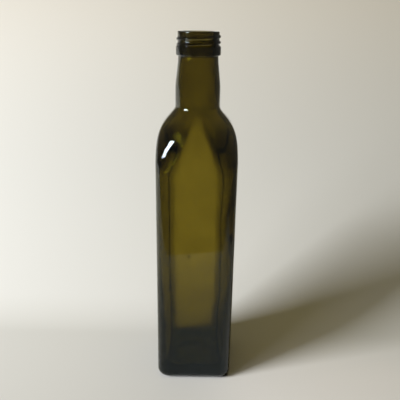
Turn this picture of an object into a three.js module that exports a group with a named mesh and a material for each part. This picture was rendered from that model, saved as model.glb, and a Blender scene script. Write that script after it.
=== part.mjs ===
// An empty glass bottle of half a litre with a square body, made in one piece.
// The origin is the middle of the foot, +Z runs up to the mouth and -Y is the front. Units are millimetres.
import * as THREE from 'three';
import { mergeVertices } from 'three/addons/utils/BufferGeometryUtils.js';

// Driving dimensions of the body
const HEIGHT = 264;
const SIDE = 58; // from one flat face to the opposite one
const CORNER_RADIUS = 9.1; // of the upright corners
const HEEL_RADIUS = 6; // where the faces turn under to the foot
const PUNT_DEPTH = 2.6; // hollow under the middle of the base
const FOOT_WIDTH = 5; // least width of the flat foot round that hollow
const FACE_WALL = 2; // the wall in the middle of a face
const BASE_WALL = 2.6; // the same near the base, below the first of the next two heights
const BASE_WALL_FROM = 30;
const BASE_WALL_TO = 100;
const NECK_WALL = 2.9; // the wall thickens to this over the next two heights
const NECK_WALL_FROM = 188;
const NECK_WALL_TO = 222;
const BASE_THICKNESS = 5.8; // glass above the hollow under the base
const FLOOR_FILLET = 7; // inner floor to inner wall
const FLOOR_FLAT_HALF_LENGTH = 8; // of the straight sides of the inner floor, half their length

// The shoulder draws the faces in to a round neck, and each flat face ends there in a pointed arch
const SHOULDER_START = 159;
const SHOULDER_END = 213.8;
const SHOULDER_FULLNESS = 6.6; // the higher, the later the faces turn in
const ARCH_START = 177;
const ARCH_CURVE = 1.07; // 1 gives straight sides to the arch

// The bend of a corner is 1 where it is round, less where it is squarer and more where it is flatter
const ARCH_BEND = 1.34; // of the outer corners high on the shoulder
const ARCH_BEND_FROM = 176;
const ARCH_BEND_TO = 200.7;
const ARCH_BEND_FLAT = 4.2; // below this length of a flat, its corners grow round again
const INNER_FLAT_HALF_LENGTH = 9; // of the inside's flat faces, half their length
const INNER_ARCH_START = 168;
const INNER_ARCH_TOP = 209;
const INNER_ARCH_CURVE = 1.35;
const INNER_CORNER_BEND = 0.53;
const INNER_BASE_BEND = 0.66;
const INNER_SHOULDER_BEND = 1.08;
const INNER_BEND_FROM = 166;
const INNER_BEND_TO = 190;

// The neck is widest at its foot and narrows to a waist below the collar
const NECK_FOOT_DIAMETER = 31.8;
const NECK_WAIST_DIAMETER = 28;
const WAIST_START = 225.5;
const WAIST_END = 247;

// The finish, which is the collar, the screw thread and the lip
const COLLAR_DIAMETER = 31.1;
const COLLAR_BOTTOM = HEIGHT - 15.6;
const COLLAR_TOP = HEIGHT - 8.9;
const COLLAR_EDGE = 0.55; // rounding of its lower edge
const COLLAR_CHAMFER = 1.15; // of its upper edge, down to the lip
const LIP_DIAMETER = COLLAR_DIAMETER - 2 * COLLAR_CHAMFER;
const LIP_EDGE = 0.7; // rounding of the rim, inside and outside
const BORE_DIAMETER = 21.6;
const THREAD_PITCH = 3.72;
const THREAD_DEPTH = 0.9;
const THREAD_WIDTH = 2.7; // at its root
const THREAD_LAND = 0.7; // flat width of its crest
const THREAD_FIRST_ANGLE = Math.PI / 4; // it starts behind the right side, and climbs to the right in front
const THREAD_FIRST_HEIGHT = HEIGHT - 10.3;
const THREAD_TURNS = 1.93;
const THREAD_TOP = HEIGHT - 1.6; // the lip is plain above this
const THREAD_FADE = Math.PI / 9; // angle over which each end runs out

// Fineness of the surface
const QUADRANT_STEPS = 14; // steps round a quarter of the bottle
const FLAT_STEPS = 2; // of these, the steps on each half of a flat face
const SHOULDER_STEPS = 15;
const SHOULDER_CROWDING = 1.5; // 1 spaces the shoulder's rings evenly
const INNER_SHOULDER_STEPS = 13;
const INNER_WALL_STEPS = 4;
const WAIST_STEPS = 5;
const PUNT_STEPS = 3;
const HEEL_STEPS = 6;
const EDGE_STEPS = 2;
const THREAD_STEPS = 17;

const HALF_SIDE = SIDE / 2;
const FLAT_HALF_LENGTH = HALF_SIDE - CORNER_RADIUS;
const NECK_RADIUS = NECK_FOOT_DIAMETER / 2;
const WAIST_RADIUS = NECK_WAIST_DIAMETER / 2;
const LIP_RADIUS = LIP_DIAMETER / 2;
const BORE_RADIUS = BORE_DIAMETER / 2;
const UP = new THREE.Vector3(0, 0, 1);

const share = (value, from, to) => Math.min(1, Math.max(0, (value - from) / (to - from)));
const smooth = (t) => t * t * (3 - 2 * t);
const steps = (count, make) => Array.from({ length: count + 1 }, (_, i) => make(i / count));

// Half the width of the outside at a height, from the body up to the collar
function halfWidth(z) {
  const shoulder = share(z, SHOULDER_START, SHOULDER_END);
  if (shoulder < 1) {
    return NECK_RADIUS + (HALF_SIDE - NECK_RADIUS) * (1 - shoulder ** SHOULDER_FULLNESS) ** 2;
  }
  return NECK_RADIUS + (WAIST_RADIUS - NECK_RADIUS) * smooth(share(z, WAIST_START, WAIST_END));
}

// Half the length of a face's flat part at a height, which closes in a pointed arch where the neck begins
function flatHalf(z) {
  return FLAT_HALF_LENGTH * (1 - share(z, ARCH_START, SHOULDER_END) ** ARCH_CURVE);
}

// Bend of the outer corners at a height
function cornerBend(z) {
  const rise = smooth(share(z, ARCH_BEND_FROM, ARCH_BEND_TO));
  return 1 + (ARCH_BEND - 1) * rise * share(flatHalf(z), 0, ARCH_BEND_FLAT);
}

// Half the length of the inside's flat part at a height, which closes in an arch of its own
function innerFlat(z) {
  return INNER_FLAT_HALF_LENGTH * (1 - share(z, INNER_ARCH_START, INNER_ARCH_TOP) ** INNER_ARCH_CURVE);
}

// Bend of the inner corners at a height
function innerBend(z) {
  const low = 1 - smooth(share(z, BASE_WALL_FROM, BASE_WALL_TO));
  const body = INNER_CORNER_BEND + (INNER_BASE_BEND - INNER_CORNER_BEND) * low;
  const shoulder = 1 + (INNER_SHOULDER_BEND - 1) * share(innerFlat(z), 0, ARCH_BEND_FLAT);
  return body + (shoulder - body) * smooth(share(z, INNER_BEND_FROM, INNER_BEND_TO));
}

// Thickness of the wall at a height, in the middle of a face
function wall(z) {
  const low = 1 - smooth(share(z, BASE_WALL_FROM, BASE_WALL_TO));
  const high = smooth(share(z, NECK_WALL_FROM, NECK_WALL_TO));
  return FACE_WALL + (BASE_WALL - FACE_WALL) * low + (NECK_WALL - FACE_WALL) * high;
}

// The point of the inner surface a wall's thickness in from the outside at a height, square to the outside
function innerPoint(z) {
  const reach = 0.05;
  const slope = (halfWidth(z + reach) - halfWidth(z - reach)) / (2 * reach);
  const length = Math.hypot(1, slope);
  return { half: halfWidth(z) - wall(z) / length, z: z + (wall(z) * slope) / length };
}

// A ring is one closed line round the bottle: its half width, its height, the half length of its flats and
// the bend of its corners
const ring = (half, z, flat = 0, bend = 1, threaded = false) => ({ half, z, flat, bend, threaded });

// Rings along an arc of the profile, whose angles are counted from straight outwards and up, in quarter turns
function arcRings(count, centre, radius, from, to, flatAt = () => 0, bend = 1) {
  return steps(count, (t) => {
    const turn = ((from + (to - from) * t) * Math.PI) / 2;
    const half = centre.half + radius * Math.cos(turn);
    return ring(half, centre.z + radius * Math.sin(turn), flatAt(t), bend);
  });
}

// The round hollow, the flat foot round it and the heel
function baseRings() {
  const footOuter = HALF_SIDE - HEEL_RADIUS;
  const puntRadius = footOuter - FOOT_WIDTH;
  const punt = steps(PUNT_STEPS, (t) => ring(puntRadius * t, PUNT_DEPTH * (1 - t * t)));
  const heelCentre = { half: footOuter, z: HEEL_RADIUS };
  const heel = arcRings(HEEL_STEPS, heelCentre, HEEL_RADIUS, -1, 0, () => FLAT_HALF_LENGTH);
  return [...punt, ...heel];
}

// The shoulder, with its rings closer together where it meets the neck
function shoulderRings() {
  return steps(SHOULDER_STEPS, (t) => {
    const z = SHOULDER_END - (SHOULDER_END - SHOULDER_START) * (1 - t) ** SHOULDER_CROWDING;
    return ring(halfWidth(z), z, flatHalf(z), cornerBend(z));
  });
}

// The neck, whose foot is the shoulder's last ring, up to its waist
function neckRings() {
  return steps(WAIST_STEPS, (t) => {
    const z = WAIST_START + (WAIST_END - WAIST_START) * t;
    return ring(halfWidth(z), z);
  });
}

// The collar, the thread on its cylinder and the rounded lip
function finishRings() {
  const collar = COLLAR_DIAMETER / 2;
  const underCollar = { half: WAIST_RADIUS + COLLAR_EDGE, z: COLLAR_BOTTOM - COLLAR_EDGE };
  const collarEdge = { half: collar - COLLAR_EDGE, z: COLLAR_BOTTOM + COLLAR_EDGE };
  const outerRim = { half: LIP_RADIUS - LIP_EDGE, z: HEIGHT - LIP_EDGE };
  const innerRim = { half: BORE_RADIUS + LIP_EDGE, z: HEIGHT - LIP_EDGE };
  const thread = steps(THREAD_STEPS, (t) => {
    const z = COLLAR_TOP + (THREAD_TOP - COLLAR_TOP) * t;
    return ring(LIP_RADIUS, z, 0, 1, true);
  });
  return [
    ...arcRings(EDGE_STEPS, underCollar, COLLAR_EDGE, 2, 1),
    ...arcRings(EDGE_STEPS, collarEdge, COLLAR_EDGE, -1, 0),
    ring(collar, COLLAR_TOP - COLLAR_CHAMFER),
    ...thread,
    ...arcRings(EDGE_STEPS, outerRim, LIP_EDGE, 0, 1),
    ...arcRings(EDGE_STEPS, innerRim, LIP_EDGE, 1, 2),
  ];
}

// The inside from the waist of the neck down to the middle of the floor
function innerRings() {
  const at = (z) => {
    const point = innerPoint(z);
    return ring(point.half, point.z, innerFlat(z), innerBend(z));
  };
  const waist = steps(WAIST_STEPS, (t) => at(WAIST_END + (WAIST_START - WAIST_END) * t));
  const shoulder = steps(INNER_SHOULDER_STEPS, (t) => {
    return at(SHOULDER_END - (SHOULDER_END - SHOULDER_START) * t ** SHOULDER_CROWDING);
  });
  const body = steps(INNER_WALL_STEPS, (t) => {
    return at(BASE_WALL_TO + (BASE_WALL_FROM - BASE_WALL_TO) * t);
  });
  const floor = PUNT_DEPTH + BASE_THICKNESS;
  const floorHalf = HALF_SIDE - BASE_WALL - FLOOR_FILLET;
  const filletCentre = { half: floorHalf, z: floor + FLOOR_FILLET };
  const narrowing = FLOOR_FLAT_HALF_LENGTH - INNER_FLAT_HALF_LENGTH;
  const flatAt = (t) => INNER_FLAT_HALF_LENGTH + narrowing * t;
  const fillet = arcRings(HEEL_STEPS, filletCentre, FLOOR_FILLET, 0, -1, flatAt, INNER_BASE_BEND);
  return [...waist, ...shoulder, ...body, ...fillet, ring(floorHalf / 2, floor), ring(0, floor)];
}

// Height of the thread over the lip's cylinder, at an angle from +X and a height
function threadHeight(angle, z) {
  const turned = (((angle - THREAD_FIRST_ANGLE) % (2 * Math.PI)) + 2 * Math.PI) % (2 * Math.PI);
  let height = 0;
  for (let turn = 0; turn <= THREAD_TURNS; turn += 1) {
    const along = turned + turn * 2 * Math.PI;
    const left = THREAD_TURNS * 2 * Math.PI - along;
    const fade = smooth(share(Math.min(along, left), 0, THREAD_FADE));
    const off = Math.abs(z - THREAD_FIRST_HEIGHT - (THREAD_PITCH * along) / (2 * Math.PI));
    const side = 1 - share(off, THREAD_LAND / 2, THREAD_WIDTH / 2);
    height = Math.max(height, THREAD_DEPTH * smooth(side) * fade);
  }
  return height;
}

// Where a step round a ring lies. The steps of a quarter are shared between half a flat, the corner and half
// the next flat, and a ring with no flats is a circle with even steps. The cosine and the sine of a corner's
// turn are raised to its bend.
function ringPoint({ half, z, flat, bend, threaded }, step) {
  const within = step % QUADRANT_STEPS;
  const quarterTurn = (Math.floor(step / QUADRANT_STEPS) * Math.PI) / 2;
  const even = ((within / QUADRANT_STEPS) * Math.PI) / 2;
  const corner = (share(within, FLAT_STEPS, QUADRANT_STEPS - FLAT_STEPS) * Math.PI) / 2;
  const turn = even + (corner - even) * share(flat, 0, INNER_FLAT_HALF_LENGTH / 2);
  const radius = half - flat + (threaded ? threadHeight(even + quarterTurn, z) : 0);
  const across = Math.max(Math.cos(turn), 0) ** bend;
  const along = Math.max(Math.sin(turn), 0) ** bend;
  const x = flat * share(QUADRANT_STEPS - within, 0, FLAT_STEPS) + radius * across;
  const y = flat * share(within, 0, FLAT_STEPS) + radius * along;
  return new THREE.Vector3(x, y, z).applyAxisAngle(UP, quarterTurn);
}

// The glass as one closed skin: a lathe's grid of rings and steps, each point of it set on its own ring
function bottleGeometry() {
  const rings = [...baseRings(), ...shoulderRings(), ...neckRings(), ...finishRings(), ...innerRings()];
  const segments = 4 * QUADRANT_STEPS;
  const geometry = new THREE.LatheGeometry(
    rings.map(({ half, z }) => new THREE.Vector2(half, z)),
    segments,
  );
  const position = geometry.attributes.position;
  for (let step = 0; step <= segments; step += 1) {
    rings.forEach((one, row) => {
      const point = ringPoint(one, step % segments);
      position.setXYZ(step * rings.length + row, point.x, point.y, point.z);
    });
  }
  geometry.deleteAttribute('normal');
  geometry.deleteAttribute('uv');
  return mergeVertices(geometry, 1e-4);
}

const glass = new THREE.MeshStandardMaterial({ color: 0x5a4c12, roughness: 0.05, metalness: 0 });
const bottle = new THREE.Mesh(bottleGeometry(), glass);
bottle.name = 'bottle';

const model = new THREE.Group();
model.add(bottle);

export default model;
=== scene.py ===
"""The looks of an empty square glass bottle of half a litre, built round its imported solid.

The sizes of the bottle are in millimetres, as in its solid, and become metres when a mesh is written. The
studio and the camera are in metres. The origin is the middle of the foot, +Z runs up to the mouth and -Y is
the front.
"""

import logging
import math
from dataclasses import dataclass, field
from enum import Enum
from typing import TypeAlias

import bpy
import numpy as np
from mathutils import Matrix


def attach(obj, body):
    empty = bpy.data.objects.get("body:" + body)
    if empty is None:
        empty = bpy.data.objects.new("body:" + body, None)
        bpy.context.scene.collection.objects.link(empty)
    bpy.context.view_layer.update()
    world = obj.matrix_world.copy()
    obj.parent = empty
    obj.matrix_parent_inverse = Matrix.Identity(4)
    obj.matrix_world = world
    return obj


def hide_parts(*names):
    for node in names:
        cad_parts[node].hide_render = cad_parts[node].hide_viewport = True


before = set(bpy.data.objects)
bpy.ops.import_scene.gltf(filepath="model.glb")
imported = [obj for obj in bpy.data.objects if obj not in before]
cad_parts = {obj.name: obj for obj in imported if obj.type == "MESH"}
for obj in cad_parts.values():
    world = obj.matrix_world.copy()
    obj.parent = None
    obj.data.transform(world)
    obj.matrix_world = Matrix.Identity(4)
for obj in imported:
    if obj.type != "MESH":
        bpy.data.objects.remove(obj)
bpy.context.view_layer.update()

MILLIMETRE = 0.001
log = logging.getLogger("bottle")


def share(value: np.ndarray | float, start: float, end: float) -> np.ndarray:
    """How far a value lies on the way from start to end, held between 0 and 1."""
    return np.clip((np.asarray(value, float) - start) / (end - start), 0.0, 1.0)


def smooth(t: np.ndarray) -> np.ndarray:
    """An even rise from 0 to 1 that starts and ends level: three t squared less two t cubed."""
    return t * t * (3 - 2 * t)


def eased(t: np.ndarray, ease: float) -> np.ndarray:
    """A straight rise from 0 to 1 whose two ends are parabolas.

    Args:
        t: how far along the way, from 0 to 1.
        ease: the share of the way that each parabola takes.

    Returns:
        The height of the rise, from 0 to 1.
    """
    curved = np.minimum(t, 1 - t)
    low = np.where(curved < ease, curved**2 / (2 * ease), curved - ease / 2) / (1 - ease)
    return np.where(t < 0.5, low, 1 - low)


@dataclass
class Rings:
    """Closed lines round the bottle, from the middle of the foot, over the lip, to the middle of the floor.

    Each has a half width, a height, the half length of its flat sides, the bend of its corners, and two
    marks, both 0 or 1: whether it belongs to the threaded lip, and whether to the inside of the wall. The
    bend is 1 for a round corner, less for a squarer one and more for a flatter one.
    """

    half: np.ndarray
    height: np.ndarray
    flat: np.ndarray
    bend: np.ndarray
    threaded: np.ndarray
    inside: np.ndarray

    @staticmethod
    def of(
        half: np.ndarray | float,
        height: np.ndarray | float,
        flat: np.ndarray | float = 0.0,
        bend: np.ndarray | float = 1.0,
        threaded: bool = False,
        inside: bool = False,
    ) -> "Rings":
        """Rings from values that are given once for all of them or once for each."""
        columns = (half, height, flat, bend, float(threaded), float(inside))
        return Rings(*(np.atleast_1d(column).astype(float) for column in np.broadcast_arrays(*columns)))

    @staticmethod
    def joined(parts: list["Rings"]) -> "Rings":
        """All the rings of several parts, in the same order."""
        names = ("half", "height", "flat", "bend", "threaded", "inside")
        return Rings(*(np.concatenate([getattr(part, name) for part in parts]) for name in names))


def arc(
    centre: tuple[float, float], radius: float, quarters: tuple[float, float], steps: int
) -> tuple[np.ndarray, np.ndarray]:
    """An arc of the profile, as half widths and heights.

    Args:
        centre: its centre's half width and height.
        radius: its radius.
        quarters: its start and end in quarter turns, counted from straight outwards and up.
        steps: the number of steps along it.

    Returns:
        The half widths and the heights, from start to end.
    """
    turn = np.linspace(*quarters, steps + 1) * math.pi / 2
    return centre[0] + radius * np.cos(turn), centre[1] + radius * np.sin(turn)


@dataclass(frozen=True)
class BottleForm:
    """The sizes of the bottle, which are those of its solid, and the fineness of its skin.

    Wall values with from and to change over those heights. A flat is half the length of a face's level part,
    and a bend is the power that a corner's cosine and sine are raised to.
    """

    height: float = 264.0
    side: float = 58.0
    corner_radius: float = 9.1
    heel_radius: float = 6.0
    punt_depth: float = 2.6
    foot_width: float = 5.0
    face_wall: float = 2.0
    base_wall: float = 2.6
    base_wall_from: float = 30.0
    base_wall_to: float = 100.0
    neck_wall: float = 2.9
    neck_wall_from: float = 188.0
    neck_wall_to: float = 222.0
    inner_flat_full: float = 9.0
    inner_corner_bend: float = 0.53
    inner_base_bend: float = 0.66
    inner_shoulder_bend: float = 1.08
    inner_bend_from: float = 166.0
    inner_bend_to: float = 190.0
    base_thickness: float = 5.8
    floor_fillet: float = 7.0
    floor_flat_half: float = 8.0

    shoulder_start: float = 159.0
    shoulder_end: float = 213.8
    shoulder_fullness: float = 6.6
    arch_start: float = 177.0
    arch_curve: float = 1.07
    arch_bend: float = 1.34
    arch_bend_from: float = 176.0
    arch_bend_to: float = 200.7
    arch_bend_flat: float = 4.2
    inner_arch_start: float = 168.0
    inner_arch_top: float = 209.0
    inner_arch_curve: float = 1.35

    neck_foot_diameter: float = 31.8
    neck_waist_diameter: float = 28.0
    waist_start: float = 225.5
    waist_end: float = 247.0
    waist_ease: float = 0.2
    bore_radius: float = 10.8

    collar_diameter: float = 31.1
    collar_bottom: float = 248.4
    collar_top: float = 255.1
    collar_edge: float = 0.55
    collar_chamfer: float = 1.15
    collar_band: float = 0.1
    lip_diameter: float = 28.8
    lip_edge: float = 0.7
    thread_pitch: float = 3.72
    thread_depth: float = 0.9
    thread_width: float = 2.7
    thread_land: float = 0.7
    thread_first_angle: float = math.pi / 4
    thread_first_height: float = 253.7
    thread_turns: float = 1.93
    thread_top: float = 262.4
    thread_fade: float = math.pi / 9

    quadrant_steps: int = 42
    flat_share: float = 1 / 7
    punt_steps: int = 14
    foot_steps: int = 3
    heel_steps: int = 12
    wall_steps: int = 90
    shoulder_steps: int = 84
    shoulder_crowding: float = 1.5
    neck_steps: int = 30
    edge_steps: int = 5
    thread_steps: int = 64
    bore_steps: int = 12
    inner_shoulder_steps: int = 64
    inner_wall_steps: int = 60
    floor_steps: int = 8

    @property
    def half_side(self) -> float:
        """Half the width of the body."""
        return self.side / 2

    @property
    def flat_full(self) -> float:
        """Half the length of a body face's flat part."""
        return self.half_side - self.corner_radius

    @property
    def neck_radius(self) -> float:
        """Radius of the neck at its foot."""
        return self.neck_foot_diameter / 2

    @property
    def waist_radius(self) -> float:
        """Radius of the neck at its waist."""
        return self.neck_waist_diameter / 2

    @property
    def inner_floor(self) -> float:
        """Height of the inner floor."""
        return self.punt_depth + self.base_thickness

    def half_width(self, z: np.ndarray) -> np.ndarray:
        """Half the width of the outside.

        On the shoulder, with s the share of its height, it is the neck's radius plus the rest of the body's
        half width times (1 - s to the power of the fullness) squared. Above it, the neck narrows evenly to
        its waist.

        Args:
            z: heights.

        Returns:
            The half width at each height.
        """
        s = share(z, self.shoulder_start, self.shoulder_end)
        body = self.neck_radius + (self.half_side - self.neck_radius) * (1 - s**self.shoulder_fullness) ** 2
        waist = eased(share(z, self.waist_start, self.waist_end), self.waist_ease)
        neck = self.neck_radius + (self.waist_radius - self.neck_radius) * waist
        return np.where(s < 1, body, neck)

    def flat_half(self, z: np.ndarray) -> np.ndarray:
        """Half the length of a face's flat part at a height, which closes in an arch below the neck."""
        return self.flat_full * (1 - share(z, self.arch_start, self.shoulder_end) ** self.arch_curve)

    def corner_bend(self, z: np.ndarray) -> np.ndarray:
        """Bend of the outer corners at a height: flatter up the arches and round again at their tips."""
        rise = smooth(share(z, self.arch_bend_from, self.arch_bend_to))
        return 1 + (self.arch_bend - 1) * rise * share(self.flat_half(z), 0, self.arch_bend_flat)

    def inner_flat(self, z: np.ndarray) -> np.ndarray:
        """Half the length of the inside's flat part at a height, which closes in an arch of its own."""
        closed = share(z, self.inner_arch_start, self.inner_arch_top) ** self.inner_arch_curve
        return self.inner_flat_full * (1 - closed)

    def inner_bend(self, z: np.ndarray) -> np.ndarray:
        """Bend of the inner corners, which are squarest in the middle of the body.

        Args:
            z: heights.

        Returns:
            The bend at each height: rounder towards the base and flat up the shoulder, where faces close.
        """
        low = 1 - smooth(share(z, self.base_wall_from, self.base_wall_to))
        body = self.inner_corner_bend + (self.inner_base_bend - self.inner_corner_bend) * low
        shoulder = 1 + (self.inner_shoulder_bend - 1) * share(self.inner_flat(z), 0, self.arch_bend_flat)
        return body + (shoulder - body) * smooth(share(z, self.inner_bend_from, self.inner_bend_to))

    def wall(self, z: np.ndarray) -> np.ndarray:
        """Thickness of the wall in the middle of a face.

        Args:
            z: heights.

        Returns:
            The thickness at each height, which grows towards the base and up the neck.
        """
        low = 1 - smooth(share(z, self.base_wall_from, self.base_wall_to))
        high = smooth(share(z, self.neck_wall_from, self.neck_wall_to))
        thicker = (self.base_wall - self.face_wall) * low + (self.neck_wall - self.face_wall) * high
        return self.face_wall + thicker

    def inner_profile(self, z: np.ndarray) -> tuple[np.ndarray, np.ndarray]:
        """The inside's profile, which lies a wall's thickness in, square to the outside.

        Args:
            z: heights on the outside.

        Returns:
            The half width and the height of the inside for each of them.
        """
        reach = 0.05
        slope = (self.half_width(z + reach) - self.half_width(z - reach)) / (2 * reach)
        length = np.hypot(1.0, slope)
        wall = self.wall(z)
        return self.half_width(z) - wall / length, z + wall * slope / length

    def thread_height(self, angle: np.ndarray, z: np.ndarray) -> np.ndarray:
        """Height of the screw thread over the lip.

        Each turn is a ridge whose centre line climbs one pitch a turn. Its height falls smoothly from the
        edge of its land to the edge of its root, and fades in and out over a short angle at its two ends.

        Args:
            angle: angles from +X, in a row.
            z: heights, in a column.

        Returns:
            The height of the thread at each of them.
        """
        turned = np.mod(angle - self.thread_first_angle, 2 * math.pi)
        height = np.zeros(np.broadcast_shapes(angle.shape, z.shape))
        for turn in range(int(self.thread_turns) + 1):
            along = turned + turn * 2 * math.pi
            left = self.thread_turns * 2 * math.pi - along
            fade = smooth(share(np.minimum(along, left), 0, self.thread_fade))
            off = np.abs(z - self.thread_first_height - self.thread_pitch * along / (2 * math.pi))
            side = 1 - share(off, self.thread_land / 2, self.thread_width / 2)
            height = np.maximum(height, self.thread_depth * smooth(side) * fade)
        return height

    def base_rings(self) -> Rings:
        """The underside.

        Returns:
            The round hollow, which is a parabola, the flat foot round it and the quarter circle of the heel.
        """
        foot_outer = self.half_side - self.heel_radius
        punt_radius = foot_outer - self.foot_width
        t = np.linspace(0, 1, self.punt_steps + 1)
        punt = Rings.of(punt_radius * t, self.punt_depth * (1 - t * t))
        out = np.linspace(0, 1, self.foot_steps + 1)[1:-1]
        foot = Rings.of(punt_radius + (foot_outer - punt_radius) * out, 0.0, self.flat_full * smooth(out))
        heel = arc((foot_outer, self.heel_radius), self.heel_radius, (-1, 0), self.heel_steps)
        return Rings.joined([punt, foot, Rings.of(*heel, self.flat_full)])

    def outer_rings(self) -> Rings:
        """The outside up to the collar.

        Returns:
            The faces, the shoulder with its rings closer together towards the neck, and the neck.
        """
        up = np.linspace(self.heel_radius, self.shoulder_start, self.wall_steps + 1)[1:]
        t = np.linspace(0, 1, self.shoulder_steps + 1)[1:]
        drop = (self.shoulder_end - self.shoulder_start) * (1 - t) ** self.shoulder_crowding
        over = self.shoulder_end - drop
        neck = np.linspace(self.shoulder_end, self.waist_end, self.neck_steps + 1)[1:]
        z = np.concatenate([up, over, neck])
        return Rings.of(self.half_width(z), z, self.flat_half(z), self.corner_bend(z))

    def finish_rings(self) -> Rings:
        """The finish above the neck.

        Returns:
            The collar with its chamfer, the threaded lip and the rounded rim.
        """
        collar = self.collar_diameter / 2
        lip = self.lip_diameter / 2
        edge, steps = self.collar_edge, self.edge_steps
        under = arc((self.waist_radius + edge, self.collar_bottom - edge), edge, (2, 1), steps)
        over = arc((collar - edge, self.collar_bottom + edge), edge, (-1, 0), steps)
        t = np.linspace(0, 1, steps + 1)
        chamfer_half = np.append(collar, collar - self.collar_chamfer * t)
        chamfer_z = self.collar_top - self.collar_chamfer * np.append(1 + self.collar_band, 1 - t)
        thread_z = np.linspace(self.collar_top, self.thread_top, self.thread_steps + 1)[1:]
        rim_z = self.height - self.lip_edge
        outer = arc((lip - self.lip_edge, rim_z), self.lip_edge, (0, 1), steps)
        inner = arc((self.bore_radius + self.lip_edge, rim_z), self.lip_edge, (1, 2), steps)
        return Rings.joined(
            [
                Rings.of(*under),
                Rings.of(*over),
                Rings.of(chamfer_half, chamfer_z),
                Rings.of(lip, thread_z, threaded=True),
                Rings.of(*outer),
                Rings.of(*inner, inside=True),
            ]
        )

    def inner_rings(self) -> Rings:
        """The inside from the rim down.

        Returns:
            The bore, the neck, the shoulder, the wall, the quarter circle at its foot and the floor. The
            floor's flats and bend fade out over its outer half.
        """
        rim = self.height - self.lip_edge
        bore = np.linspace(rim, self.waist_end, self.bore_steps + 1)[1:-1]
        neck = np.linspace(self.waist_end, self.shoulder_end, self.neck_steps // 2 + 1)
        t = np.linspace(0, 1, self.inner_shoulder_steps + 1)[1:]
        drop = (self.shoulder_end - self.shoulder_start) * t**self.shoulder_crowding
        fillet_z = self.inner_floor + self.floor_fillet
        wall = np.linspace(self.shoulder_start, fillet_z, self.inner_wall_steps + 1)[1:-1]
        outside = np.concatenate([neck, self.shoulder_end - drop, wall])
        half, z = self.inner_profile(outside)
        floor_half = self.half_side - self.base_wall - self.floor_fillet
        fillet = arc((floor_half, fillet_z), self.floor_fillet, (0, -1), self.heel_steps)
        fillet_flat = np.linspace(self.inner_flat_full, self.floor_flat_half, self.heel_steps + 1)
        inwards = np.linspace(1, 0, self.floor_steps + 1)[1:]
        squareness = share(inwards, 0.5, 1.0)
        floor_flat = self.floor_flat_half * squareness
        floor_bend = 1 + (self.inner_base_bend - 1) * squareness
        return Rings.joined(
            [
                Rings.of(self.bore_radius, bore, inside=True),
                Rings.of(half, z, self.inner_flat(outside), self.inner_bend(outside), inside=True),
                Rings.of(*fillet, fillet_flat, self.inner_base_bend, inside=True),
                Rings.of(floor_half * inwards, self.inner_floor, floor_flat, floor_bend, inside=True),
            ]
        )


@dataclass(frozen=True)
class MouldMarks:
    """What the mould and the blowing leave: two seams, uneven walls and faces that sink a little.

    A mark grows between its start and its full height. Its fade is a distance: below the start of the
    shoulder for the sink, below the top of the waist for the waves, and two distances below the rim for the
    seam, between which it fades. The seam's step counts round the bottle from +X. The gather is the depth of
    a thicker place in the wall, with its turn, its width, its height and its reach up and down. Every mark
    shrinks where a ring's half width is under full_half_width.
    """

    seam_step: int = 121
    seam_height: float = 0.12
    seam_start: float = 196.0
    seam_full: float = 212.0
    seam_fade: tuple[float, float] = (3.0, 1.5)
    face_sink: float = 0.10
    sink_start: float = 4.0
    sink_full: float = 30.0
    sink_fade: float = 20.0
    outer_wave: float = 0.05
    outer_wave_start: float = 2.0
    outer_wave_full: float = 12.0
    outer_wave_fade: float = 4.0
    inner_wave: float = 0.16
    inner_wave_full: float = 30.0
    inner_wave_fade: float = 8.0
    full_half_width: float = 4.0
    gather: float = 1.0
    gather_angle: float = -math.pi / 4
    gather_width: float = math.radians(30)
    gather_height: float = 135.0
    gather_reach: float = 45.0
    wave_lengths: tuple[float, ...] = (61.0, 38.0, 23.0)
    waves_round: tuple[int, ...] = (2, 3, 5, 7)
    seed: int = 20

    def waves(self, angle: np.ndarray, z: np.ndarray, offset: int) -> np.ndarray:
        """Slow waves: a mean of sines that run round the bottle and up it, each with its own phase.

        Args:
            angle: angles from +X, in a row.
            z: heights, in a column.
            offset: a number that gives other waves.

        Returns:
            A value between -1 and 1 at each of them.
        """
        draw = np.random.default_rng(self.seed + offset)
        total, count = np.zeros(np.broadcast_shapes(angle.shape, z.shape)), 0
        for length in self.wave_lengths:
            for cycles in self.waves_round:
                phase = draw.uniform(0, 2 * math.pi, 2)
                total += np.sin(cycles * angle + phase[0]) * np.sin(2 * math.pi * z / length + phase[1])
                count += 1
        return np.clip(total / math.sqrt(count), -1, 1)


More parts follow.
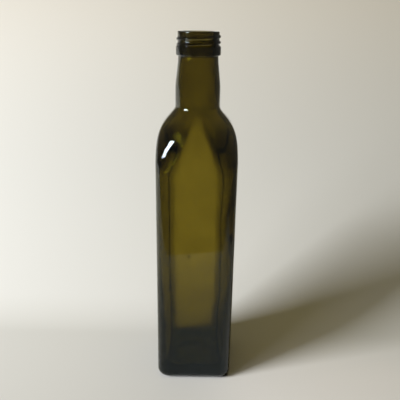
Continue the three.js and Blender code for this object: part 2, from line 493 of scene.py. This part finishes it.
@dataclass
class GlassBottle:
    """The bottle as one closed skin of glass, outside and inside."""

    form: BottleForm = field(default_factory=BottleForm)
    marks: MouldMarks = field(default_factory=MouldMarks)
    name: str = "bottle_glass"
    node: str = "bottle"
    body: str = "root"
    slot: str = "glass"

    def rings(self) -> Rings:
        """All rings of the skin in order."""
        form = self.form
        return Rings.joined([form.base_rings(), form.outer_rings(), form.finish_rings(), form.inner_rings()])

    def relief(self, rings: Rings, angle: np.ndarray) -> np.ndarray:
        """How far the mould marks move each point outwards.

        Outside, faces sink as the square of how near a point is to the middle of its face, and slow waves
        only take away, so that nothing leaves the solid's box. Inside, the waves change the wall both ways,
        and glass has gathered in one corner. The seam is a ridge one step wide on each side of the neck and
        the collar.

        Args:
            rings: the rings of the skin.
            angle: the angle from +X of each step round the bottle.

        Returns:
            The distance in millimetres, rings by steps.
        """
        form, marks = self.form, self.marks
        z = rings.height[:, None]
        inside = rings.inside[:, None]
        risen = smooth(share(z, marks.sink_start, marks.sink_full))
        below_shoulder = 1 - smooth(share(z, form.shoulder_start - marks.sink_fade, form.shoulder_end))
        middle = np.cos(2 * angle) ** 2
        outer = -marks.face_sink * risen * below_shoulder * middle
        risen = smooth(share(z, marks.outer_wave_start, marks.outer_wave_full))
        outer = outer - marks.outer_wave * risen * (1 - marks.waves(angle, z, 0)) / 2
        outer = outer * (1 - smooth(share(z, form.waist_end - marks.outer_wave_fade, form.waist_end)))
        risen = smooth(share(z, form.inner_floor, marks.inner_wave_full))
        inner = marks.inner_wave * marks.waves(angle, z, 1) * risen
        inner = inner * (1 - smooth(share(z, form.waist_end - marks.inner_wave_fade, form.waist_end)))
        aside = np.abs(np.mod(angle - marks.gather_angle + math.pi, 2 * math.pi) - math.pi)
        gathered = smooth(1 - share(aside, 0, marks.gather_width))
        gathered = gathered * smooth(1 - share(np.abs(z - marks.gather_height), 0, marks.gather_reach))
        inner = inner - marks.gather * gathered
        seam = np.zeros_like(outer)
        segments = angle.shape[-1]
        rise = smooth(share(z[:, 0], marks.seam_start, marks.seam_full))
        fade_from, fade_to = marks.seam_fade
        fall = 1 - smooth(share(z[:, 0], form.height - fade_from, form.height - fade_to))
        for step in (marks.seam_step, marks.seam_step + segments // 2):
            seam[:, step % segments] = marks.seam_height * rise * fall
        return np.where(inside > 0, inner, outer + seam)

    def points(self) -> np.ndarray:
        """The points of the skin.

        A quarter of each ring is shared between half a flat, the corner and half the next flat. A point is
        the flat rectangle's corner, moved along the flats, plus a radius that turns from one face to the
        next. A ring with no flats is a circle with even steps, and the turn changes from one spacing to the
        other as the flats close. The cosine and the sine of a corner's turn are raised to its bend.

        Returns:
            The grid, rings by steps by 3, in millimetres.
        """
        form, rings = self.form, self.rings()
        steps = form.quadrant_steps
        step = np.arange(4 * steps)
        within = (step % steps)[None, :] / steps
        quarter = (step // steps)[None, :] * math.pi / 2
        even = within * math.pi / 2
        corner = share(within, form.flat_share, 1 - form.flat_share) * math.pi / 2
        flat = rings.flat[:, None]
        half_closed = form.inner_flat_full / 2
        turn = even + (corner - even) * share(flat, 0, half_closed)
        bend = rings.bend[:, None]
        across = np.maximum(np.cos(turn), 0) ** bend
        along = np.maximum(np.sin(turn), 0) ** bend
        z = rings.height[:, None]
        thread = form.thread_height(even + quarter, z) * rings.threaded[:, None]
        radius = rings.half[:, None] - flat + thread
        strength = share(rings.half[:, None], 0, self.marks.full_half_width)
        radius = radius + self.relief(rings, even + quarter) * strength
        x = flat * share(1 - within, 0, form.flat_share) + radius * across
        y = flat * share(within, 0, form.flat_share) + radius * along
        grid = np.empty((*x.shape, 3))
        grid[..., 0] = x * np.cos(quarter) - y * np.sin(quarter)
        grid[..., 1] = x * np.sin(quarter) + y * np.cos(quarter)
        grid[..., 2] = z
        return grid

    def build(self, finish: "GlassFinish") -> bpy.types.Object:
        """Makes the mesh, gives it its finish and sets it in the place of its solid.

        Args:
            finish: the glass.

        Returns:
            The object.
        """
        piece = closed_skin(self.name, self.points() * MILLIMETRE)
        piece.data.materials.append(finish.material())
        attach(piece, self.body)
        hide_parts(self.node)
        return piece


def closed_skin(name: str, grid: np.ndarray) -> bpy.types.Object:
    """A closed mesh from a grid of rings whose first and last ring each shrink to one point.

    Args:
        name: the object's name.
        grid: rings by steps by 3, in metres, in an order that turns the faces outwards.

    Returns:
        The object, linked to the scene and shaded smooth.
    """
    rings, steps = grid.shape[:2]
    inner = grid[1:-1].reshape(-1, 3)
    points = np.concatenate([grid[:1, 0], inner, grid[-1:, 0]])
    here = np.arange(steps)
    after = (here + 1) % steps
    rows = (np.arange(rings - 3) * steps + 1)[:, None]
    low, high = rows, rows + steps
    quads = np.stack([low + here, low + after, high + after, high + here], axis=-1).reshape(-1, 4)
    last_ring = (rings - 3) * steps + 1
    first_fan = np.stack([np.zeros_like(here), 1 + after, 1 + here], axis=-1)
    last_fan = np.stack([np.full_like(here, len(points) - 1), last_ring + here, last_ring + after], axis=-1)
    mesh = bpy.data.meshes.new(name)
    fans = np.concatenate([first_fan, last_fan])
    write_faces(mesh, points, quads, fans)
    piece = bpy.data.objects.new(name, mesh)
    bpy.context.scene.collection.objects.link(piece)
    return piece


def write_faces(mesh: bpy.types.Mesh, points: np.ndarray, quads: np.ndarray, triangles: np.ndarray) -> None:
    """Fills a mesh, whose faces are all shaded smooth.

    Args:
        mesh: the empty mesh.
        points: its points, one a row.
        quads: the four points of each four-sided face.
        triangles: the three points of each triangle.
    """
    corners = np.concatenate([quads.ravel(), triangles.ravel()])
    sizes = np.concatenate([np.full(len(quads), 4), np.full(len(triangles), 3)])
    mesh.vertices.add(len(points))
    mesh.vertices.foreach_set("co", points.astype(np.float32).ravel())
    mesh.loops.add(len(corners))
    mesh.loops.foreach_set("vertex_index", corners.astype(np.int32))
    mesh.polygons.add(len(sizes))
    mesh.polygons.foreach_set("loop_start", (np.cumsum(sizes) - sizes).astype(np.int32))
    mesh.polygons.foreach_set("use_smooth", np.ones(len(sizes), bool))
    mesh.update(calc_edges=True)
    mesh.validate()


Value: TypeAlias = "Signal | float | tuple[float, ...]"


class Signal:
    """One output of a node, which takes part in Python expressions on numbers."""

    def __init__(self, bench: "Bench", socket: bpy.types.NodeSocket) -> None:
        """Keeps the output and the bench that adds nodes after it."""
        self.bench = bench
        self.socket = socket

    def _math(self, operation: str, first: Value, second: Value) -> "Signal":
        """A Math node on two values."""
        return self.bench.add("ShaderNodeMath", {"operation": operation}, {0: first, 1: second})

    def __add__(self, other: Value) -> "Signal":
        """The sum."""
        return self._math("ADD", self, other)

    def __sub__(self, other: Value) -> "Signal":
        """The difference."""
        return self._math("SUBTRACT", self, other)

    def __rsub__(self, other: Value) -> "Signal":
        """The difference, the other way round."""
        return self._math("SUBTRACT", other, self)

    def __mul__(self, other: Value) -> "Signal":
        """The product."""
        return self._math("MULTIPLY", self, other)

    __radd__ = __add__
    __rmul__ = __mul__

    def between(self, start: float, end: float) -> "Signal":
        """A smooth rise from 0 to 1.

        Args:
            start: the value where it is still 0.
            end: the value where it is 1, which may also be the smaller of the two.

        Returns:
            The risen signal.
        """
        settings = {"interpolation_type": "SMOOTHSTEP", "clamp": True}
        span = {"Value": self, "From Min": start, "From Max": end}
        return self.bench.add("ShaderNodeMapRange", settings, span)


class Bench:
    """Adds nodes to one material's tree."""

    def __init__(self, name: str) -> None:
        """Starts an empty material.

        Args:
            name: the material's name.
        """
        self.material = bpy.data.materials.new(name)
        self.material.use_nodes = True
        self.tree = self.material.node_tree
        self.tree.nodes.clear()

    @staticmethod
    def _socket(sockets: bpy.types.bpy_prop_collection, key: str | int) -> bpy.types.NodeSocket:
        """One of a node's sockets.

        Args:
            sockets: the node's inputs or outputs.
            key: the socket's number, its identifier or its name.

        Returns:
            The socket, which is one that is in use where an identifier is given.
        """
        if isinstance(key, int):
            return sockets[key]
        return next((s for s in sockets if s.identifier == key and s.enabled), None) or sockets[key]

    def add(
        self, kind: str, settings: dict | None = None, inputs: dict | None = None, output: str | int = 0
    ) -> Signal:
        """Adds one node.

        Args:
            kind: the node's type.
            settings: its own settings, which are made first.
            inputs: a value or a signal for each socket that has one.
            output: which of its outputs is wanted.

        Returns:
            That output.
        """
        node = self.tree.nodes.new(kind)
        for name, value in (settings or {}).items():
            setattr(node, name, value)
        for key, value in (inputs or {}).items():
            socket = self._socket(node.inputs, key)
            if isinstance(value, Signal):
                self.tree.links.new(value.socket, socket)
            else:
                socket.default_value = value
        return Signal(self, self._socket(node.outputs, output))

    def place(self) -> Signal:
        """Where a point is on the piece, in metres."""
        return self.add("ShaderNodeTexCoord", output="Object")

    def noise(self, place: Signal, size: float, detail: float) -> Signal:
        """Soft clouds between 0 and 1, of a size in metres and with finer and finer clouds as detail."""
        return self.add("ShaderNodeTexNoise", inputs={"Vector": place, "Scale": 1 / size, "Detail": detail})

    def distance(self, place: Signal, point: tuple[float, float, float]) -> Signal:
        """How far a place is from a point, in metres."""
        return self.add("ShaderNodeVectorMath", {"operation": "DISTANCE"}, {0: place, 1: point}, output=1)

    def mix(self, factor: Value, first: Value, second: Value) -> Signal:
        """The first colour where the factor is 0, the second where it is 1."""
        inputs = {"Factor_Float": factor, "A_Color": first, "B_Color": second}
        return self.add("ShaderNodeMix", {"data_type": "RGBA"}, inputs, output="Result_Color")

    def finish(self, surface: Signal, volume: Signal | None = None) -> bpy.types.Material:
        """Joins a surface, and what fills it, to the material's output.

        Args:
            surface: the shader of the surface.
            volume: the shader of what fills it, if there is one.

        Returns:
            The material.
        """
        inputs = {"Surface": surface}
        if volume is not None:
            inputs["Volume"] = volume
        node = self.tree.nodes.new("ShaderNodeOutputMaterial")
        for name, signal in inputs.items():
            self.tree.links.new(signal.socket, node.inputs[name])
        return self.material


@dataclass(frozen=True)
class GlassFinish:
    """Dark olive bottle glass: clear at its surface, with the colour in its thickness.

    The absorption is for each metre of glass and for red, green and blue. The tint colours the light that
    passes the surface, and the sheen what the surface mirrors. The foot is worn up to a height. Sizes of
    smears, wear and ripples are in metres. The seeds are two dark grains in the glass. Their places, and the
    radius over which they fade out, are in millimetres.
    """

    absorbed_per_metre: tuple[float, float, float] = (437.0, 457.0, 745.0)
    tint: tuple[float, float, float, float] = (1.0, 0.895, 0.38, 1.0)
    bending: float = 1.52
    sheen: tuple[float, float, float, float] = (0.64, 0.76, 0.8, 1.0)
    polish: float = 0.0
    smears: float = 0.03
    smear_size: float = 0.018
    smear_detail: float = 3.0
    smear_span: tuple[float, float] = (0.55, 0.8)
    worn_foot: float = 0.25
    worn_height: float = 0.0012
    ripple_size: float = 0.006
    ripple_detail: float = 1.0
    ripple_strength: float = 0.15
    ripple_depth: float = 0.00005
    seed_colour: tuple[float, float, float, float] = (0.03, 0.025, 0.02, 1.0)
    seeds: tuple[tuple[float, float, float], ...] = ((-4.6, -29.0, 108.5), (15.4, -0.6, 230.0))
    seed_radius: float = 2.1

    def material(self) -> bpy.types.Material:
        """The glass as a material.

        Its absorption is a plain colour and density: a colour channel loses the density times 1 less its
        colour.

        Returns:
            The material.
        """
        bench = Bench("olive_glass")
        place = bench.place()
        height = bench.add("ShaderNodeSeparateXYZ", inputs={0: place}, output="Z")
        smear = bench.noise(place, self.smear_size, self.smear_detail).between(*self.smear_span)
        foot = 1 - height.between(0.0, self.worn_height)
        roughness = self.polish + smear * self.smears + foot * self.worn_foot
        bump = bench.add(
            "ShaderNodeBump",
            inputs={
                "Height": bench.noise(place, self.ripple_size, self.ripple_detail),
                "Strength": self.ripple_strength,
                "Distance": self.ripple_depth,
            },
        )
        colour = self.tint
        for seed in self.seeds:
            away = bench.distance(place, tuple(value * MILLIMETRE for value in seed))
            grain = 1 - away.between(0.0, self.seed_radius * MILLIMETRE)
            colour = bench.mix(grain, colour, self.seed_colour)
        surface = bench.add(
            "ShaderNodeBsdfPrincipled",
            inputs={
                "Base Color": colour,
                "Roughness": roughness,
                "IOR": self.bending,
                "Specular Tint": self.sheen,
                "Transmission Weight": 1.0,
                "Normal": bump,
            },
        )
        density = max(self.absorbed_per_metre)
        kept = tuple(1 - absorbed / density for absorbed in self.absorbed_per_metre)
        absorbing = {"Color": (*kept, 1.0), "Density": density}
        return bench.finish(surface, bench.add("ShaderNodeVolumeAbsorption", inputs=absorbing))


@dataclass(frozen=True)
class PaperWithPaintedLight:
    """Plain matt paper, for the floor and the backdrop, with painted light in its colour.

    Its colours turn from front to middle to far over two spans of depth, in metres along Y: painted light
    that falls off, darker at the front and brighter at the back. A patch near the bottle is painted light
    too, to the right of it and in front of it, over its own spans along X and along Y.
    """

    name: str = "pale_paper_painted_light"
    # front, middle and far are the pale paper with painted light: darker in front and brighter behind, as
    # light falls off
    front: tuple[float, float, float, float] = (0.6, 0.6, 0.585, 1.0)
    middle: tuple[float, float, float, float] = (0.685, 0.69, 0.675, 1.0)
    far: tuple[float, float, float, float] = (0.93, 0.905, 0.86, 1.0)
    # painted light: a brighter pool on the floor near the bottle, to its right and in front of it
    painted_light_near_right: tuple[float, float, float, float] = (0.76, 0.75, 0.735, 1.0)
    front_span: tuple[float, float] = (-0.15, 0.06)
    far_span: tuple[float, float] = (0.2, 0.8)
    right_span: tuple[float, float] = (-0.02, 0.06)
    near_span: tuple[float, float] = (0.04, -0.03)

    def material(self) -> bpy.types.Material:
        """The paper as a material, with its painted light mixed into its colour.

        Returns:
            The material.
        """
        bench = Bench(self.name)
        place = bench.place()
        across = bench.add("ShaderNodeSeparateXYZ", inputs={0: place}, output="X")
        depth = bench.add("ShaderNodeSeparateXYZ", inputs={0: place}, output="Y")
        # painted light: the paper's colour darkens towards the front and brightens towards the back
        colour = bench.mix(depth.between(*self.front_span), self.front, self.middle)
        colour = bench.mix(depth.between(*self.far_span), colour, self.far)
        # painted light: mask of the brighter pool to the right of the bottle and in front of it
        paler = across.between(*self.right_span) * depth.between(*self.near_span)
        colour = bench.mix(paler, colour, self.painted_light_near_right)
        return bench.finish(bench.add("ShaderNodeBsdfDiffuse", inputs={"Color": colour}))


class SeenBy(Enum):
    """Which rays a stage piece is there for."""

    EVERYTHING = "everything"
    NO_REFLECTIONS = "no reflections"


@dataclass(frozen=True)
class Studio:
    """A pale paper floor that rises behind the bottle and turns up to a wall all round, and its lights.

    The part of the floor inside its front and right edges shows in the glass. The rest of the stage isn't
    reflected. The soft light stands upright on the left, and the much weaker side light beside it. The top
    light is wide, weak and warm, and the fill is the even light that surrounds all. Turns are counted from
    the front, and radiance is how bright a light's face is.
    """

    floor_drop: float = 0.0001
    front_edge: float = 0.262
    front_slope: float = -0.17
    left_front_edge: float = 0.30
    left_front_slope: float = 0.35
    right_edge: float = 0.28
    rise_start: float = 0.033
    rise_radius: float = 0.1
    rise_turn: float = math.radians(28)
    sweep_start: float = 0.9
    sweep_radius: float = 0.6
    wall_height: float = 2.2
    light_turn: float = math.radians(-64)
    light_distance: float = 1.2
    light_width: float = 0.42
    light_bottom: float = 0.385
    light_top: float = 0.937
    light_radiance: float = 40.0
    side_turn: float = math.radians(-46)
    side_width: float = 0.28
    side_radiance: float = 5.0
    top_height: float = 2.4
    top_diameter: float = 2.0
    top_radiance: tuple[float, float, float] = (1.15, 0.97, 0.5)
    fill: tuple[float, float, float] = (0.17, 0.16, 0.145)
    steps_round: int = 360
    table_rows: int = 180
    centre_share: float = 0.001
    backdrop_rows: int = 90
    sweep_rows: int = 24

    def angles(self) -> np.ndarray:
        """The steps round the Z axis."""
        return np.linspace(0, 2 * math.pi, self.steps_round, endpoint=False)

    def edge(self) -> np.ndarray:
        """The edge of the reflected floor.

        Returns:
            The distance from the Z axis at each step, to the nearest of three straight edges and the sweep.
        """
        across, forwards = np.cos(self.angles()), -np.sin(self.angles())
        least = 1e-3
        front = self.front_edge / np.maximum(forwards + self.front_slope * across, least)
        left_front = self.left_front_edge / np.maximum(forwards - self.left_front_slope * across, least)
        right = self.right_edge / np.maximum(across, least)
        return np.minimum.reduce([front, left_front, right, np.full_like(across, self.sweep_start)])

    def floor_height(self, y: np.ndarray) -> np.ndarray:
        """Height of the floor: level, then an arc that turns up, then an even slope.

        Args:
            y: places along Y.

        Returns:
            The height at each of them.
        """
        past = np.maximum(y - self.rise_start, 0)
        along = np.minimum(past, self.rise_radius * math.sin(self.rise_turn))
        curved = self.rise_radius - np.sqrt(self.rise_radius**2 - along**2)
        return curved + (past - along) * math.tan(self.rise_turn) - self.floor_drop

    def surface(self, name: str, radii: np.ndarray, lift: np.ndarray, seen: SeenBy) -> bpy.types.Object:
        """A stage piece round the Z axis.

        Args:
            name: the object's name.
            radii: rows of distances from the axis, one for each step round it.
            lift: rows of heights over the floor.
            seen: which rays it is there for.

        Returns:
            The object, linked to the scene and told to be part of the stage.
        """
        angle = self.angles()
        x, y = radii * np.cos(angle), radii * np.sin(angle)
        grid = np.stack([x, y, self.floor_height(y) + lift], axis=-1)
        rows = (np.arange(len(radii) - 1) * self.steps_round)[:, None]
        here = np.arange(self.steps_round)
        after = (here + 1) % self.steps_round
        low, high = rows, rows + self.steps_round
        quads = np.stack([low + here, high + here, high + after, low + after], axis=-1).reshape(-1, 4)
        mesh = bpy.data.meshes.new(name)
        write_faces(mesh, grid.reshape(-1, 3), quads, np.empty((0, 3), int))
        piece = bpy.data.objects.new(name, mesh)
        bpy.context.scene.collection.objects.link(piece)
        piece.visible_glossy = seen is SeenBy.EVERYTHING
        piece.visible_diffuse = False
        return piece

    def build(self, paper: PaperWithPaintedLight) -> None:
        """Makes the floor, the backdrop, the lights and the fill.

        Args:
            paper: the paper of floor and backdrop, with its painted light.
        """
        material = paper.material()
        edge = self.edge()
        near = np.linspace(self.centre_share, 1, self.table_rows)[:, None] * edge
        out = edge + np.linspace(0, 1, self.backdrop_rows)[:, None] * (self.sweep_start - edge)
        turn = np.linspace(0, math.pi / 2, self.sweep_rows)[1:]
        curve = self.sweep_start + self.sweep_radius * np.append(np.sin(turn), 1.0)
        rise = np.append(self.sweep_radius * (1 - np.cos(turn)), self.wall_height)
        radii = np.concatenate([out, curve[:, None] + 0 * edge])
        lift = np.concatenate([0 * out, rise[:, None] + 0 * edge])
        table = self.surface("floor_near", near, 0 * near, SeenBy.EVERYTHING)
        backdrop = self.surface("backdrop", radii, lift, SeenBy.NO_REFLECTIONS)
        for piece in (table, backdrop):
            piece.data.materials.append(material)
        self.soft_light("soft_light", self.light_turn, self.light_width, self.light_radiance)
        weaker = self.soft_light("side_light", self.side_turn, self.side_width, self.side_radiance)
        weaker.visible_glossy = False
        self.top_light()
        world = bpy.data.worlds.new("fill")
        world.use_nodes = True
        background = world.node_tree.nodes["Background"]
        background.inputs["Color"].default_value = (*self.fill, 1.0)
        world.cycles_visibility.diffuse = False
        bpy.context.scene.world = world

    def soft_light(self, name: str, turn: float, width: float, radiance: float) -> bpy.types.Object:
        """An upright soft light, square to the bottle, whose power is pi times its radiance times its face.

        Args:
            name: the object's name.
            turn: its turn round the bottle.
            width: its width.
            radiance: its radiance.

        Returns:
            The object.
        """
        data = bpy.data.lights.new(name, "AREA")
        data.shape = "RECTANGLE"
        data.size = width
        data.size_y = self.light_top - self.light_bottom
        data.energy = radiance * math.pi * data.size * data.size_y
        light = bpy.data.objects.new(name, data)
        bpy.context.scene.collection.objects.link(light)
        x, y = self.light_distance * math.sin(turn), -self.light_distance * math.cos(turn)
        upright = Matrix.Rotation(turn, 4, "Z") @ Matrix.Rotation(math.pi / 2, 4, "X")
        middle = (self.light_top + self.light_bottom) / 2
        light.matrix_world = Matrix.Translation((x, y, middle)) @ upright
        return light

    def top_light(self) -> None:
        """A wide, weak and warm light from above, which the glass doesn't mirror."""
        data = bpy.data.lights.new("top_light", "AREA")
        data.shape = "DISK"
        data.size = self.top_diameter
        strongest = max(self.top_radiance)
        data.color = tuple(c / strongest for c in self.top_radiance)
        data.energy = strongest * math.pi * math.pi * self.top_diameter**2 / 4
        light = bpy.data.objects.new("top_light", data)
        bpy.context.scene.collection.objects.link(light)
        light.location = (0.0, 0.0, self.top_height)
        light.visible_glossy = False
        light.visible_transmission = False


@dataclass(frozen=True)
class FrontCamera:
    """A camera at the height of the mouth that looks down on the bottle.

    Pan, pitch and roll are its turns about the upright, its own side and its view, and round_bottle carries
    it round the bottle. The lens's share is its length over the width of the picture.
    """

    distance: float = 0.36044
    height: float = 0.272043
    pitch: float = math.radians(19.80)
    pan: float = math.radians(0.450)
    roll: float = math.radians(0.974)
    round_bottle: float = math.radians(0.247)
    lens_share: float = 504.15 / 400
    sensor: float = 36.0
    nearest: float = 0.01
    farthest: float = 20.0

    def build(self) -> bpy.types.Object:
        """Makes the camera and takes it into use.

        Returns:
            The object.
        """
        data = bpy.data.cameras.new("camera")
        data.sensor_width = self.sensor
        data.lens = self.sensor * self.lens_share
        data.clip_start, data.clip_end = self.nearest, self.farthest
        camera = bpy.data.objects.new("camera", data)
        bpy.context.scene.collection.objects.link(camera)
        sin_pan, cos_pan = math.sin(self.pan), math.cos(self.pan)
        sin_pitch, cos_pitch = math.sin(self.pitch), math.cos(self.pitch)
        sin_roll, cos_roll = math.sin(self.roll), math.cos(self.roll)
        forward = np.array([sin_pan * cos_pitch, cos_pan * cos_pitch, -sin_pitch])
        right = np.array([cos_pan, -sin_pan, 0.0])
        up = np.array([sin_pan * sin_pitch, cos_pan * sin_pitch, cos_pitch])
        across = right * cos_roll + up * sin_roll
        upwards = up * cos_roll - right * sin_roll
        axes = np.eye(4)
        axes[:3, 0], axes[:3, 1], axes[:3, 2] = across, upwards, -forward
        axes[:3, 3] = (0.0, -self.distance, self.height)
        camera.matrix_world = Matrix.Rotation(self.round_bottle, 4, "Z") @ Matrix(axes.tolist())
        bpy.context.scene.camera = camera
        return camera


def light_paths() -> None:
    """Lets light pass the many surfaces of the glass, and keeps colours as they are."""
    scene = bpy.context.scene
    scene.view_settings.view_transform = "Standard"
    cycles = scene.cycles
    cycles.max_bounces = 32
    cycles.transmission_bounces = 32
    cycles.glossy_bounces = 16
    cycles.diffuse_bounces = 3
    cycles.blur_glossy = 1.0
    cycles.sample_clamp_indirect = 6.0
    cycles.seed = 7


def main() -> None:
    """Builds the bottle, the studio and the camera in order."""
    logging.basicConfig(level=logging.INFO, format="%(name)s: %(message)s")
    bottle = GlassBottle()
    piece = bottle.build(GlassFinish())
    log.info("%s: %d faces", piece.name, len(piece.data.polygons))
    Studio().build(PaperWithPaintedLight())
    FrontCamera().build()
    light_paths()


if __name__ == "__main__":
    main()
